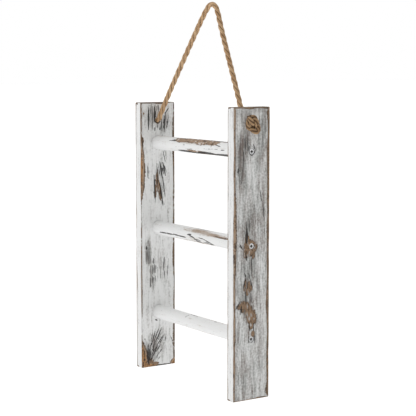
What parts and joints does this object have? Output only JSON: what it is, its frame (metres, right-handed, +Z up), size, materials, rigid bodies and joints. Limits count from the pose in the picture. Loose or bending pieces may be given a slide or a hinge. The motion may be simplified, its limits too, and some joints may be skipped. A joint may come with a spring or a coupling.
{
  "type": "towel ladder",
  "caption": "Small wall-hung towel ladder: flat whitewashed wooden rails, round rungs screwed on from outside, and a knotted jute rope that hangs it on a hook.",
  "frame": {"origin": "the hanging point: the underside of the rope's bend, where the wall hook carries it", "axes": "+X to the ladder's right seen from the front, -Y to the front, +Y to the wall, +Z up along the rails"},
  "size_m": [0.2998, 0.061, 0.5588],
  "materials": {
    "rail_wood": "worn whitewash over brown wood, matt",
    "rung_wood": "worn white paint over brown wood, matt",
    "screw_metal": "painted over with the rail, matt",
    "jute_rope": "twisted natural fibre, matt"
  },
  "bodies": {
    "rope_hanger": {"hanging_rope": "jute_rope", "left_knot": "jute_rope", "right_knot": "jute_rope"},
    "ladder": {"left_rail": "rail_wood", "right_rail": "rail_wood", "bottom_rung": "rung_wood", "middle_rung": "rung_wood", "top_rung": "rung_wood", "bottom_left_screw": "screw_metal", "bottom_right_screw": "screw_metal", "middle_left_screw": "screw_metal", "middle_right_screw": "screw_metal", "top_left_screw": "screw_metal", "top_right_screw": "screw_metal"}
  },
  "joints": [
    {"name": "ladder_swing", "type": "hinge", "parent": "rope_hanger", "child": "ladder", "pos_m": [0, -0.0226, -0.1698], "axis": [1, 0, 0], "range_deg": [-158, 144]}
  ]
}
